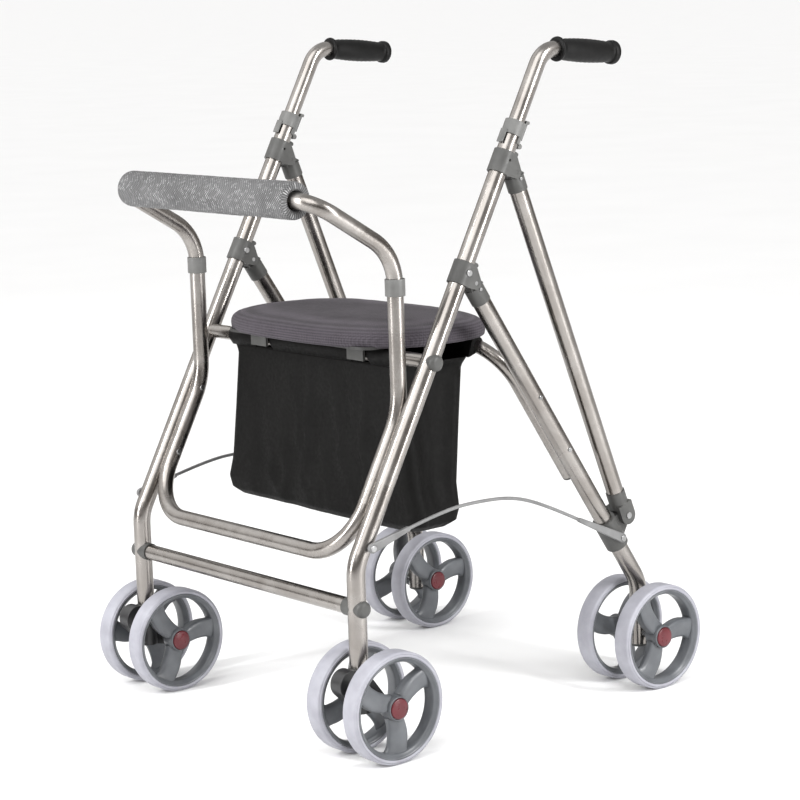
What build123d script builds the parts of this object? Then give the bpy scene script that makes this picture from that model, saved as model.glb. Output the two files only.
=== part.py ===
"""Folding four-leg walking frame with eight wheels, seat, bag and backrest.

Millimetres, +Z up.  The origin is on the floor under the middle of the frame.
The walker travels towards -Y, the user stands at +Y, and +X is the user's left.
"""
import os
from math import asin, atan2, cos, degrees, dist, hypot, pi, radians, sin, tan

from build123d import *

os.makedirs("parts", exist_ok=True)

# ---------------------------------------------------------------- driving dimensions
HALF_TRACK = 247.0            # centre plane of each side frame
WHEEL_R = 75.0
AXLE_Z = WHEEL_R
FRONT_LEG_Y = -268.0          # upright part of the front tube and the caster's swivel axis
CASTER_TRAIL = 24.0
WHEEL_OFFSET = 38.0           # wheel centre plane to leg centre plane
FRONT_TUBE_END_Z = 126.0
KNEE_Z = 260.0                # where the front tube turns from upright to raked
KNEE_BEND_R = 60.0
RAKE = radians(28.35)         # front tube, measured from upright
LEG_RAKE = radians(33.27)     # rear leg
LEG_POINT = (3.0, 518.5)      # (y, z) on the rear leg's axis
REAR_KNEE_Z = 148.0
REAR_LEG_END_Z = 58.0

TUBE_R = 12.5                 # 25 mm front tube and rear leg
TUBE_BORE_R = 11.08
STRUT_R = 12.2
HANDLE_R = 11.0
LOOP_R = 11.0                 # backrest loop and bow
UPPER_BAR_R = 10.0
LOWER_BAR_R = 11.0
SEAT_TUBE_R = 9.5
WALL = 1.5
SLIDE_GAP = 0.08              # radial running clearance of sliding tubes
PIN_GAP = 0.05                # radial running clearance of pins and axles
PIN_R = 3.0
SCREW_R = 2.0

TUBE_TOP_S = 628.0            # distances up the raked tube, from the knee
CLIP_S = 611.0
RUNNER_S = 572.0
HINGE_S = 411.7
HANDLE_END_S = 485.0
COLLAR_LEN = 31.4
COLLAR_R = 15.3
PIVOT_OUT = 18.0              # hinge pin behind the front tube's axis
PIVOT_DROP = 5.1              # hinge pin below the collar's middle
EAR_R = 8.5
TONGUE_HALF = 9.0
SLOT_HALF = 9.2
TONGUE_R = 7.0
SLEEVE_R = 13.6               # plastic end fittings of legs and struts
SLEEVE_START = 8.0
LEG_SLEEVE_END = 33.0
STRUT_SLEEVE_END = 29.0
RIVET_DOWN = 11.8

FOLD = radians(30.0)          # rear frame's swing about the lower hinge
STRUT_SWING = radians(20.6)   # net swing of the strut over the same fold
STRUT_FOOT = (217.0, 251.0)   # (y, z) of the strut's lower pin
STRUT_SET_BACK = 5.1          # strut axis behind its upper pin
LUG_HALF = 6.0
LUG_R = 10.5
FOOT_R = 13.0
FOOT_HALF = 13.2
FOOT_SLOT_HALF = 6.3
FOOT_SLEEVE_START = 17.0
FOOT_SLEEVE_END = 38.0
BRACKET_R = 16.5

UPPER_BAR_Z = 511.5
LOWER_BAR_Z = 205.0
BOLT_REACH = 28.0             # crossbar bolt, inward from the front tube's axis
CAP_R = 11.3
LOOP_Y = -167.0
LOOP_X = HALF_TRACK - TUBE_R - LOOP_R
LOOP_BEND_Z = 447.0
LOOP_BOTTOM_Z = 266.5
LOOP_SCREWS = ((-175.2, 435.3), (-221.5, 347.5))
JOINT_Z = 612.0               # the loop meets the bow inside the ferrules
FERRULE_Z = (601.0, 624.0)
FERRULE_R = 13.5
BOW_BEND_Z = 656.0
ROLL_Y, ROLL_Z = -296.5, 734.0
ROLL_R = 24.5
ROLL_HALF = 188.0

SEAT_TUBE_X = HALF_TRACK - TUBE_R - SEAT_TUBE_R
REAR_BAR_Z = 514.0
SEAT_TUBE_END_Z = 318.0
SEAT_SCREW_Z = (441.7, 361.7)
SEAT_Y = -57.0                # middle of the seat
SEAT_A, SEAT_B = 206.0, 128.0
SEAT_POWER = 2.7              # squareness of the seat's outline
SEAT_BOTTOM, SEAT_TOP = 524.0, 550.0
BOARD_Z = (522.4, 526.4)
HOOK_X = 109.0
HOOK_W = 35.0

GRIP_TILT = radians(4.87)
GRIP_CORNER_S = 739.8         # where the handle tube's bend has its corner
GRIP_START, GRIP_END = 23.8, 135.2
HANDLE_BEND_R = 36.0

TIE_R = 2.4
TIE_X = 266.3
TIE_HALF = 2.7
TIE_FRONT_S = 28.6            # front tie screw, up the raked tube
TIE_REAR_Z = 222.8            # rear tie screw, on the rear leg
TIE_ROUTE = (
    (-197.8, 300.3),
    (-132.0, 315.3),
    (-72.0, 318.2),
    (-5.0, 314.0),
    (60.0, 289.5),
    (118.9, 260.0),
)

AXLE_R = 4.0
TYRE_HALF_W = 14.0
RIM_R = 68.0
RIM_INNER_R = 61.5
HUB_R = 17.0
HUB_CAP_R = 14.0
FORK_HALF = 11.0

SIDES = (("left", 1), ("right", -1))


# ---------------------------------------------------------------- shared geometry
def on_main(s, out=0.0):
    """(y, z) at distance s up the raked front tube and out behind its axis."""
    return (
        FRONT_LEG_Y + s * sin(RAKE) + out * cos(RAKE),
        KNEE_Z + s * cos(RAKE) - out * sin(RAKE),
    )


def leg_y(z):
    """y of the rear leg's axis at height z."""
    return LEG_POINT[0] + (LEG_POINT[1] - z) * tan(LEG_RAKE)


def main_plane(x, s):
    """Across the raked front tube: local y points behind it, z up along it."""
    return Plane(origin=(x, *on_main(s)), x_dir=(1, 0, 0), z_dir=(0, sin(RAKE), cos(RAKE)))


def link_plane(x, point, rake):
    """Across a link that leans back by rake: local y points behind it, z up along it."""
    return Plane(origin=(x, *point), x_dir=(1, 0, 0), z_dir=(0, -sin(rake), cos(rake)))


def flank(plane):
    """Side view of such a plane: local x points behind, local y up along."""
    return Plane(origin=plane.origin, x_dir=plane.y_dir, z_dir=(1, 0, 0))


UPPER_PIVOT = on_main(RUNNER_S - PIVOT_DROP, PIVOT_OUT)
LOWER_PIVOT = on_main(HINGE_S - PIVOT_DROP, PIVOT_OUT)
LEG_SET_BACK = (leg_y(LOWER_PIVOT[1]) - LOWER_PIVOT[0]) * cos(LEG_RAKE)
PIN_SPAN = hypot(STRUT_FOOT[0] - UPPER_PIVOT[0], UPPER_PIVOT[1] - STRUT_FOOT[1])
STRUT_RAKE = atan2(STRUT_FOOT[0] - UPPER_PIVOT[0], UPPER_PIVOT[1] - STRUT_FOOT[1])
STRUT_RAKE -= asin(STRUT_SET_BACK / PIN_SPAN)
TIE_REAR = (leg_y(TIE_REAR_Z), TIE_REAR_Z)
UPPER_BAR_Y = on_main((UPPER_BAR_Z - KNEE_Z) / cos(RAKE))[0]


def down_link(point, rake, length, back=0.0):
    """(y, z) at a length down a leaning link and back behind it."""
    return (
        point[0] + length * sin(rake) + back * cos(rake),
        point[1] - length * cos(rake) + back * sin(rake),
    )


def bent_line(points, radii):
    """Straight runs joined by tangent arcs, one radius for each inner point."""
    pts = [Vector(*p) for p in points]
    start = pts[0]
    for before, corner, after, radius in zip(pts, pts[1:], pts[2:], radii):
        into = (corner - before).normalized()
        away = (after - corner).normalized()
        turn = radians(into.get_angle(away))
        reach = radius * tan(turn / 2)
        begin = corner - into * reach
        end = corner + away * reach
        inward = (away - into).normalized()
        middle = corner + inward * (radius / cos(turn / 2) - radius)
        Line(start, begin)
        ThreePointArc(begin, middle, end)
        start = end
    Line(start, pts[-1])


def bent_tube(points, radii, outer, inner):
    """Round tube, or a rod where inner is 0, along a bent centre line."""
    with BuildPart() as tube:
        with BuildLine() as path:
            bent_line(points, radii)
        with BuildSketch(Plane(origin=path.line @ 0, z_dir=path.line % 0)):
            Circle(outer)
            if inner:
                Circle(inner, mode=Mode.SUBTRACT)
        sweep(path=path.line)
    return tube


def x_rod(radius, x_low, x_high, y, z, mode=Mode.ADD):
    """Round rod along X between two x values."""
    with Locations(((x_low + x_high) / 2, y, z)):
        Cylinder(radius, abs(x_high - x_low), rotation=(0, 90, 0), mode=mode)


def rod_on(plane, radius, low, high, back=0.0, mode=Mode.ADD):
    """Round rod along a plane's normal, from low to high, set back in local y."""
    middle = plane.from_local_coords((0, back, (low + high) / 2))
    with Locations(Location(Plane(origin=middle, x_dir=plane.x_dir, z_dir=plane.z_dir))):
        Cylinder(radius, high - low, mode=mode)


def front_tube_cut(x, radius=TUBE_R):
    """Cut away the raked front tube's space."""
    rod_on(main_plane(x, 0.0), radius, -40.0, 660.0, mode=Mode.SUBTRACT)


def save(part, name):
    part.label = name
    export_step(part, f"parts/{name}.step")


def save_group(blocks, name):
    """One file of several separate solids."""
    group = Compound(children=[block.part for block in blocks])
    save(group, name)


# ---------------------------------------------------------------- front tubes
COLLAR_SCREW_S = HINGE_S + 2.1
for side, sign in SIDES:
    x_mid = sign * HALF_TRACK
    front_tube = bent_tube(
        [(x_mid, FRONT_LEG_Y, FRONT_TUBE_END_Z), (x_mid, FRONT_LEG_Y, KNEE_Z), (x_mid, *on_main(TUBE_TOP_S))],
        [KNEE_BEND_R],
        TUBE_R,
        TUBE_BORE_R,
    )
    with front_tube:
        for y, z in LOOP_SCREWS:
            x_rod(SCREW_R, x_mid - sign * 14.0, x_mid, y, z, Mode.SUBTRACT)
        x_rod(PIN_R, x_mid - 14.0, x_mid + 14.0, UPPER_BAR_Y, UPPER_BAR_Z, Mode.SUBTRACT)
        x_rod(PIN_R, x_mid - 14.0, x_mid + 14.0, FRONT_LEG_Y, LOWER_BAR_Z, Mode.SUBTRACT)
        x_rod(SCREW_R, x_mid - 14.0, x_mid + 14.0, *on_main(COLLAR_SCREW_S), Mode.SUBTRACT)
        x_rod(SCREW_R, x_mid, x_mid + sign * 14.0, *on_main(TIE_FRONT_S), Mode.SUBTRACT)
    save(front_tube.part, f"front_tube_{side}")


# ---------------------------------------------------------------- hinge collars and runners
def collar(x_mid, s_mid, bore, hole_s, hole_r):
    """Sleeve on the front tube with a rear clevis and, above it, a catch nub."""
    plane = main_plane(x_mid, s_mid)
    side_view = flank(plane)
    with BuildPart() as sleeve:
        rod_on(plane, COLLAR_R, -COLLAR_LEN / 2, COLLAR_LEN / 2)
        with BuildSketch(side_view):
            with Locations((PIVOT_OUT, -PIVOT_DROP)):
                Circle(EAR_R)
            with Locations((4.0, 0)):
                Rectangle(8.0, COLLAR_LEN)
            make_hull()
        extrude(amount=COLLAR_R, both=True)
        with BuildSketch(side_view):
            with Locations((14.2, 17.0)):
                Rectangle(3.2, 10.0)
            with Locations((16.5, 19.2)):
                Circle(2.8)
        extrude(amount=5.0, both=True)
        with BuildSketch(side_view):
            with Locations((20.0, -PIVOT_DROP - 6.5)):
                Rectangle(40.0, 30.0)
        extrude(amount=SLOT_HALF, both=True, mode=Mode.SUBTRACT)
        rod_on(plane, bore, -30.0, 40.0, mode=Mode.SUBTRACT)
        x_rod(PIN_R, x_mid - 16.0, x_mid + 16.0, *on_main(s_mid - PIVOT_DROP, PIVOT_OUT), Mode.SUBTRACT)
        x_rod(hole_r, x_mid - 16.0, x_mid + 16.0, *on_main(hole_s), Mode.SUBTRACT)
    return sleeve


collars = []
hinge_pins = []
for side, sign in SIDES:
    x_mid = sign * HALF_TRACK
    collars.append(collar(x_mid, HINGE_S, TUBE_R, COLLAR_SCREW_S, SCREW_R))
    with BuildPart() as pin:
        x_rod(PIN_R, x_mid - 14.8, x_mid + 14.8, *LOWER_PIVOT)
    hinge_pins.append(pin)
    runner = collar(x_mid, RUNNER_S, TUBE_R + SLIDE_GAP, RUNNER_S + 4.2, 1.8)
    stubs = []
    for inner, outer in ((9.4, 14.8), (-14.8, -9.4)):
        with BuildPart() as stub:
            x_rod(PIN_R, x_mid + inner, x_mid + outer, *UPPER_PIVOT)
        stubs.append(stub)
    save_group([runner, *stubs], f"runner_{side}")
save_group(collars, "hinge_collars")
save_group(hinge_pins, "hinge_pins")


# ---------------------------------------------------------------- end fittings of legs and struts
def link_head(x_mid, sign, pivot, rake, set_back, tube_r, bore_r, sleeve_end, swing):
    """Tongue on a hinge pin, running into a plug and sleeve for the link's tube."""
    plane = link_plane(x_mid, pivot, rake)
    with BuildPart() as head_fitting:
        rod_on(plane, SLEEVE_R, -sleeve_end, -SLEEVE_START, set_back)
        rod_on(plane, tube_r, -sleeve_end, -SLEEVE_START - 2.0, set_back, Mode.SUBTRACT)
        rod_on(plane, bore_r, -20.0, -SLEEVE_START, set_back)
        x_rod(EAR_R + 0.6, x_mid + TONGUE_HALF, x_mid + 20.0, *pivot, Mode.SUBTRACT)
        x_rod(EAR_R + 0.6, x_mid - 20.0, x_mid - TONGUE_HALF, *pivot, Mode.SUBTRACT)
        with BuildSketch(flank(plane)):
            Circle(TONGUE_R)
            with Locations((set_back, -SLEEVE_START - 1.0)):
                Rectangle(2 * SLEEVE_R - 4.0, 2.0)
            make_hull()
        extrude(amount=TONGUE_HALF, both=True)
        x_rod(PIN_R + PIN_GAP, x_mid - 16.0, x_mid + 16.0, *pivot, Mode.SUBTRACT)
        for share in (0.0, 0.5, 1.0):
            lean = RAKE - share * swing
            axis_point = (pivot[0] - PIVOT_OUT * cos(lean), pivot[1] + PIVOT_OUT * sin(lean))
            rod_on(link_plane(x_mid, axis_point, -lean), TUBE_R + 0.35, -60.0, 60.0, mode=Mode.SUBTRACT)
        rivet_at = down_link(pivot, rake, RIVET_DOWN, set_back)
        x_rod(SCREW_R, x_mid + sign * 6.0, x_mid + sign * 16.0, *rivet_at, Mode.SUBTRACT)
    return head_fitting


def rivet(x_mid, sign, point, start, face, head_r=2.6):
    """Shank from start to the face, with a low round head outside the face."""
    with BuildPart() as body:
        x_rod(SCREW_R, x_mid + sign * start, x_mid + sign * face, *point)
        x_rod(head_r, x_mid + sign * face, x_mid + sign * (face + 1.6), *point)
        fillet(body.edges().sort_by(Axis.X)[-1 if sign > 0 else 0], 1.1)
    return body


# ---------------------------------------------------------------- struts
STRUT_TOP = down_link(UPPER_PIVOT, STRUT_RAKE, 0.0, STRUT_SET_BACK)
for side, sign in SIDES:
    x_mid = sign * HALF_TRACK
    top = down_link(STRUT_TOP, STRUT_RAKE, SLEEVE_START + 2.0)
    foot_plane = link_plane(x_mid, STRUT_FOOT, STRUT_RAKE)
    strut_length = hypot(top[0] - STRUT_FOOT[0], top[1] - STRUT_FOOT[1])
    rivet_at = down_link(STRUT_TOP, STRUT_RAKE, RIVET_DOWN)
    with BuildPart() as strut:
        rod_on(foot_plane, STRUT_R, FOOT_SLEEVE_START + 2.0, strut_length)
        rod_on(foot_plane, STRUT_R - WALL, FOOT_SLEEVE_START + 2.0, strut_length, mode=Mode.SUBTRACT)
        x_rod(SCREW_R, x_mid + sign * 6.0, x_mid + sign * 16.0, *rivet_at, Mode.SUBTRACT)
    save(strut.part, f"strut_{side}")

    head_fitting = link_head(
        x_mid, sign, UPPER_PIVOT, STRUT_RAKE, STRUT_SET_BACK,
        STRUT_R, STRUT_R - WALL, STRUT_SLEEVE_END, STRUT_SWING,
    )
    with BuildPart() as foot_fitting:
        rod_on(foot_plane, SLEEVE_R, FOOT_SLEEVE_START, FOOT_SLEEVE_END)
        with BuildSketch(flank(foot_plane)):
            Circle(FOOT_R)
            with Locations((0, (FOOT_SLEEVE_START + 2.0) / 2)):
                Rectangle(2 * FOOT_R, FOOT_SLEEVE_START + 2.0)
        extrude(amount=FOOT_HALF, both=True)
        rod_on(foot_plane, STRUT_R, FOOT_SLEEVE_START + 2.0, FOOT_SLEEVE_END + 1.0, mode=Mode.SUBTRACT)
        rod_on(foot_plane, STRUT_R - WALL, FOOT_SLEEVE_START, FOOT_SLEEVE_START + 10.0)
        with BuildSketch(flank(foot_plane)):
            with Locations((0, -4.0)):
                Rectangle(40.0, 32.0)
        extrude(amount=FOOT_SLOT_HALF, both=True, mode=Mode.SUBTRACT)
        x_rod(PIN_R, x_mid - 16.0, x_mid + 16.0, *STRUT_FOOT, Mode.SUBTRACT)
    save_group([head_fitting, foot_fitting], f"strut_ends_{side}")

    with BuildPart() as foot_pin:
        x_rod(PIN_R, x_mid - FOOT_HALF, x_mid + FOOT_HALF, *STRUT_FOOT)
        x_rod(4.6, x_mid + FOOT_HALF, x_mid + FOOT_HALF + 1.4, *STRUT_FOOT)
        x_rod(4.6, x_mid - FOOT_HALF - 1.4, x_mid - FOOT_HALF, *STRUT_FOOT)
    save_group([foot_pin, rivet(x_mid, sign, rivet_at, 6.0, SLEEVE_R)], f"strut_pins_{side}")

# ---------------------------------------------------------------- rear legs
LEG_TOP = down_link(LOWER_PIVOT, LEG_RAKE, 0.0, LEG_SET_BACK)
REAR_AXLE_Y = leg_y(REAR_KNEE_Z)
leg_heads = []
rear_brackets = []
rear_screws = []
for side, sign in SIDES:
    x_mid = sign * HALF_TRACK
    top = down_link(LEG_TOP, LEG_RAKE, SLEEVE_START + 2.0)
    rivet_at = down_link(LEG_TOP, LEG_RAKE, RIVET_DOWN)
    rear_leg = bent_tube(
        [(x_mid, *top), (x_mid, REAR_AXLE_Y, REAR_KNEE_Z), (x_mid, REAR_AXLE_Y, REAR_LEG_END_Z)],
        [KNEE_BEND_R],
        TUBE_R,
        TUBE_BORE_R,
    )
    with rear_leg:
        x_rod(AXLE_R, x_mid - 14.0, x_mid + 14.0, REAR_AXLE_Y, AXLE_Z, Mode.SUBTRACT)
        x_rod(SCREW_R, x_mid, x_mid + sign * 14.0, *rivet_at, Mode.SUBTRACT)
        x_rod(SCREW_R, x_mid, x_mid + sign * 14.0, *TIE_REAR, Mode.SUBTRACT)
        for z in SEAT_SCREW_Z:
            x_rod(SCREW_R, x_mid - 14.0, x_mid + 14.0, leg_y(z), z, Mode.SUBTRACT)
    save(rear_leg.part, f"rear_leg_{side}")

    leg_heads.append(
        link_head(
            x_mid, sign, LOWER_PIVOT, LEG_RAKE, LEG_SET_BACK, TUBE_R, TUBE_BORE_R, LEG_SLEEVE_END, FOLD
        )
    )
    rear_screws.append(rivet(x_mid, sign, rivet_at, 6.0, SLEEVE_R))

    clamp_plane = link_plane(x_mid, TIE_REAR, LEG_RAKE)
    lug_back = (STRUT_FOOT[0] - TIE_REAR[0]) * cos(LEG_RAKE) + (STRUT_FOOT[1] - TIE_REAR[1]) * sin(LEG_RAKE)
    lug_up = (STRUT_FOOT[1] - TIE_REAR[1]) * cos(LEG_RAKE) - (STRUT_FOOT[0] - TIE_REAR[0]) * sin(LEG_RAKE)
    with BuildPart() as bracket:
        rod_on(clamp_plane, BRACKET_R, -16.0, 32.0)
        with BuildSketch(flank(clamp_plane)):
            with Locations((lug_back, lug_up)):
                Circle(LUG_R)
            with Locations((6.0, 7.0)):
                Rectangle(12.0, 34.0)
            make_hull()
        extrude(amount=LUG_HALF, both=True)
        rod_on(clamp_plane, TUBE_R, -20.0, 40.0, mode=Mode.SUBTRACT)
        x_rod(PIN_R + PIN_GAP, x_mid - 8.0, x_mid + 8.0, *STRUT_FOOT, Mode.SUBTRACT)
        x_rod(SCREW_R, x_mid, x_mid + sign * 18.0, *TIE_REAR, Mode.SUBTRACT)
    rear_brackets.append(bracket)
    rear_screws.append(rivet(x_mid, sign, TIE_REAR, 9.0, TIE_X + TIE_HALF - HALF_TRACK, 4.6))
    for z in SEAT_SCREW_Z:
        rear_screws.append(rivet(x_mid, sign, (leg_y(z), z), SEAT_TUBE_X - HALF_TRACK - 2.0, TUBE_R, 3.4))
save_group(leg_heads, "leg_heads")
save_group(rear_brackets, "rear_brackets")
save_group(rear_screws, "rear_screws")

# ---------------------------------------------------------------- seat frame
seat_tube = bent_tube(
    [
        (SEAT_TUBE_X, leg_y(SEAT_TUBE_END_Z), SEAT_TUBE_END_Z),
        (SEAT_TUBE_X, leg_y(REAR_BAR_Z), REAR_BAR_Z),
        (-SEAT_TUBE_X, leg_y(REAR_BAR_Z), REAR_BAR_Z),
        (-SEAT_TUBE_X, leg_y(SEAT_TUBE_END_Z), SEAT_TUBE_END_Z),
    ],
    [65.0, 65.0],
    SEAT_TUBE_R,
    SEAT_TUBE_R - WALL,
)
with seat_tube:
    for side, sign in SIDES:
        for z in SEAT_SCREW_Z:
            x_rod(SCREW_R, sign * (SEAT_TUBE_X - 2.0), sign * HALF_TRACK, leg_y(z), z, Mode.SUBTRACT)
save(seat_tube.part, "seat_frame_tube")

end_plugs = []
for side, sign in SIDES:
    seat_end = link_plane(sign * SEAT_TUBE_X, (leg_y(SEAT_TUBE_END_Z), SEAT_TUBE_END_Z), LEG_RAKE)
    with BuildPart() as seat_plug:
        rod_on(seat_end, SEAT_TUBE_R, -4.0, 0.0)
        fillet(seat_plug.edges().sort_by(Axis.Z)[0], 2.5)
        rod_on(seat_end, SEAT_TUBE_R - WALL, 0.0, 12.0)
    with BuildPart() as leg_plug:
        leg_end = Plane(origin=(sign * HALF_TRACK, REAR_AXLE_Y, REAR_LEG_END_Z))
        rod_on(leg_end, TUBE_R, -4.0, 0.0)
        fillet(leg_plug.edges().sort_by(Axis.Z)[0], 2.5)
        rod_on(leg_end, TUBE_BORE_R, 0.0, 9.0)
    end_plugs += [seat_plug, leg_plug]
save_group(end_plugs, "tube_end_plugs")


# ---------------------------------------------------------------- crossbars
def crossbar(radius, y, z, half):
    """Round tube along X with its ends coped to the front tubes."""
    with BuildPart() as bar:
        x_rod(radius, -half, half, y, z)
        x_rod(radius - WALL, -half, half, y, z, Mode.SUBTRACT)
        for side, sign in SIDES:
            x_rod(radius - WALL, sign * (HALF_TRACK - BOLT_REACH - 10.0), sign * half, y, z)
            if z > KNEE_Z:
                front_tube_cut(sign * HALF_TRACK)
            x_rod(PIN_R, sign * (HALF_TRACK - BOLT_REACH), sign * half, y, z, Mode.SUBTRACT)
    return bar


save(crossbar(UPPER_BAR_R, UPPER_BAR_Y, UPPER_BAR_Z, HALF_TRACK).part, "upper_crossbar")
save(crossbar(LOWER_BAR_R, FRONT_LEG_Y, LOWER_BAR_Z, HALF_TRACK - TUBE_R - 3.5).part, "lower_crossbar")

saddles = []
dome_caps = []
front_screws = []
for side, sign in SIDES:
    x_mid = sign * HALF_TRACK
    with BuildPart() as saddle:
        x_rod(LOWER_BAR_R + 1.4, x_mid - sign * 19.5, x_mid, FRONT_LEG_Y, LOWER_BAR_Z)
        x_rod(LOWER_BAR_R, x_mid - sign * 20.0, x_mid - sign * 16.0, FRONT_LEG_Y, LOWER_BAR_Z, Mode.SUBTRACT)
        with Locations((x_mid, FRONT_LEG_Y, LOWER_BAR_Z)):
            Cylinder(TUBE_R, 60.0, mode=Mode.SUBTRACT)
        x_rod(PIN_R, x_mid - sign * 20.0, x_mid, FRONT_LEG_Y, LOWER_BAR_Z, Mode.SUBTRACT)
    saddles.append(saddle)
    for (y, z), raked in (((UPPER_BAR_Y, UPPER_BAR_Z), True), ((FRONT_LEG_Y, LOWER_BAR_Z), False)):
        with BuildPart() as dome:
            x_rod(CAP_R, x_mid, x_mid + sign * 18.5, y, z)
            fillet(dome.edges().sort_by(Axis.X)[-1 if sign > 0 else 0], 6.0)
            if raked:
                front_tube_cut(x_mid)
            else:
                with Locations((x_mid, FRONT_LEG_Y, LOWER_BAR_Z)):
                    Cylinder(TUBE_R, 60.0, mode=Mode.SUBTRACT)
            x_rod(PIN_R, x_mid, x_mid + sign * 16.0, y, z, Mode.SUBTRACT)
        dome_caps.append(dome)
        with BuildPart() as bolt:
            x_rod(PIN_R, x_mid - sign * BOLT_REACH, x_mid + sign * 16.0, y, z)
        front_screws.append(bolt)
save_group(saddles, "crossbar_saddles")
save_group(dome_caps, "crossbar_caps")

# ---------------------------------------------------------------- backrest
loop = bent_tube(
    [
        (LOOP_X, LOOP_Y, JOINT_Z),
        (LOOP_X, LOOP_Y, LOOP_BEND_Z),
        (LOOP_X, LOOP_Y - (LOOP_BEND_Z - LOOP_BOTTOM_Z) * tan(RAKE), LOOP_BOTTOM_Z),
        (-LOOP_X, LOOP_Y - (LOOP_BEND_Z - LOOP_BOTTOM_Z) * tan(RAKE), LOOP_BOTTOM_Z),
        (-LOOP_X, LOOP_Y, LOOP_BEND_Z),
        (-LOOP_X, LOOP_Y, JOINT_Z),
    ],
    [110.0, 75.0, 75.0, 110.0],
    LOOP_R,
    LOOP_R - WALL,
)
with loop:
    for side, sign in SIDES:
        for y, z in LOOP_SCREWS:
            x_rod(SCREW_R, sign * (LOOP_X - 14.0), sign * HALF_TRACK, y, z, Mode.SUBTRACT)
save(loop.part, "backrest_loop")

bow = bent_tube(
    [
        (LOOP_X, LOOP_Y, JOINT_Z),
        (LOOP_X, LOOP_Y, BOW_BEND_Z),
        (LOOP_X, ROLL_Y, ROLL_Z),
        (-LOOP_X, ROLL_Y, ROLL_Z),
        (-LOOP_X, LOOP_Y, BOW_BEND_Z),
        (-LOOP_X, LOOP_Y, JOINT_Z),
    ],
    [70.0, 36.0, 36.0, 70.0],
    LOOP_R,
    LOOP_R - WALL,
)
save(bow.part, "backrest_bow")

ferrules = []
for side, sign in SIDES:
    with BuildPart() as ferrule:
        foot = Plane(origin=(sign * LOOP_X, LOOP_Y, FERRULE_Z[0]))
        rod_on(foot, FERRULE_R, 0.0, FERRULE_Z[1] - FERRULE_Z[0])
        fillet(ferrule.edges().filter_by(GeomType.CIRCLE), 1.0)
        rod_on(foot, LOOP_R, -1.0, 30.0, mode=Mode.SUBTRACT)
        rod_on(foot, LOOP_R + 1.3, JOINT_Z + 3.0 - FERRULE_Z[0], 30.0, mode=Mode.SUBTRACT)
    ferrules.append(ferrule)
    for y, z in LOOP_SCREWS:
        front_screws.append(rivet(sign * LOOP_X, -sign, (y, z), -14.0, LOOP_R, 4.0))
    for outward in (1, -1):
        front_screws.append(
            rivet(sign * HALF_TRACK, outward, on_main(COLLAR_SCREW_S), 11.0, COLLAR_R, 4.6)
        )
    front_screws.append(
        rivet(sign * HALF_TRACK, sign, on_main(TIE_FRONT_S), 11.0, TIE_X + TIE_HALF - HALF_TRACK, 4.6)
    )
save_group(ferrules, "backrest_ferrules")
save_group(front_screws, "front_screws")

with BuildPart() as roll:
    x_rod(ROLL_R, -ROLL_HALF, ROLL_HALF, ROLL_Y, ROLL_Z)
    fillet(roll.edges().filter_by(GeomType.CIRCLE), 4.0)
    x_rod(LOOP_R, -ROLL_HALF, ROLL_HALF, ROLL_Y, ROLL_Z, Mode.SUBTRACT)
    for side, sign in SIDES:
        x_rod(LOOP_R + 2.4, sign * (ROLL_HALF - 12.0), sign * ROLL_HALF, ROLL_Y, ROLL_Z, Mode.SUBTRACT)
save(roll.part, "backrest_roll")

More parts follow.
